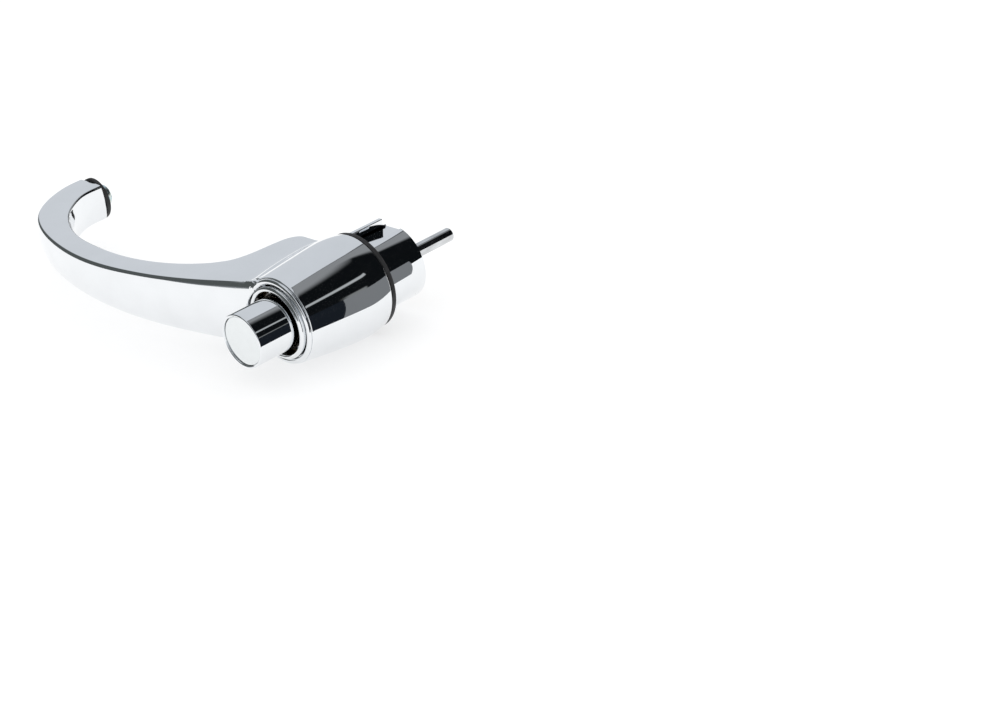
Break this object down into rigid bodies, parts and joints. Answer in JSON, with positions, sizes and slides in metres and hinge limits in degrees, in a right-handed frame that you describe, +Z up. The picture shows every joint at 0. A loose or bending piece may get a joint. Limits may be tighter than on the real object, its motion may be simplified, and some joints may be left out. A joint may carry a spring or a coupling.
{
  "type": "door handle",
  "caption": "Fixed curved pull handle with a push button in its barrel, a rod out of its rear shank, gaskets and mounting screws.",
  "frame": {"origin": "on the barrel's axis, in the plane where both gaskets meet the door", "axes": "+Y into the door along the button's travel, -X along the pull towards its tip, +Z up, to the side of the shank's flat and blade"},
  "size_m": [0.1948, 0.1075, 0.0404],
  "materials": {
    "chrome_plate": "polished chrome on a zinc casting",
    "chrome_satin": "lightly brushed chrome",
    "bore_bronze": "dull bronze-brown bore",
    "bush_brass": "turned brass",
    "bright_steel": "bright steel",
    "zinc_plate": "blue-white zinc plate",
    "black_rubber": "matt moulded rubber"
  },
  "bodies": {
    "handle": {"handle_casting": "chrome_plate", "nose_bezel": "chrome_plate", "barrel_sleeve": "bore_bronze", "rear_bush": "bush_brass", "return_spring": "bright_steel", "spring_seat": "bright_steel", "bush_circlip": "bright_steel", "root_lock_washer": "bright_steel", "tip_lock_washer": "bright_steel", "root_screw": "zinc_plate", "tip_screw": "zinc_plate", "barrel_gasket": "black_rubber", "tip_gasket": "black_rubber", "rod_seal": "black_rubber"},
    "button": {"button_cap": "chrome_plate", "button_face_disc": "chrome_satin", "button_plunger": "bright_steel", "plunger_seal": "black_rubber", "plunger_rod": "bright_steel", "cross_pin": "bright_steel"}
  },
  "joints": [
    {"name": "button_press", "type": "slide", "parent": "handle", "child": "button", "axis": [0, 1, 0], "range_m": [0, 0.008], "stiffness_N_per_m": 1200, "springref_m": -0.01, "deforming": ["return_spring"]}
  ]
}
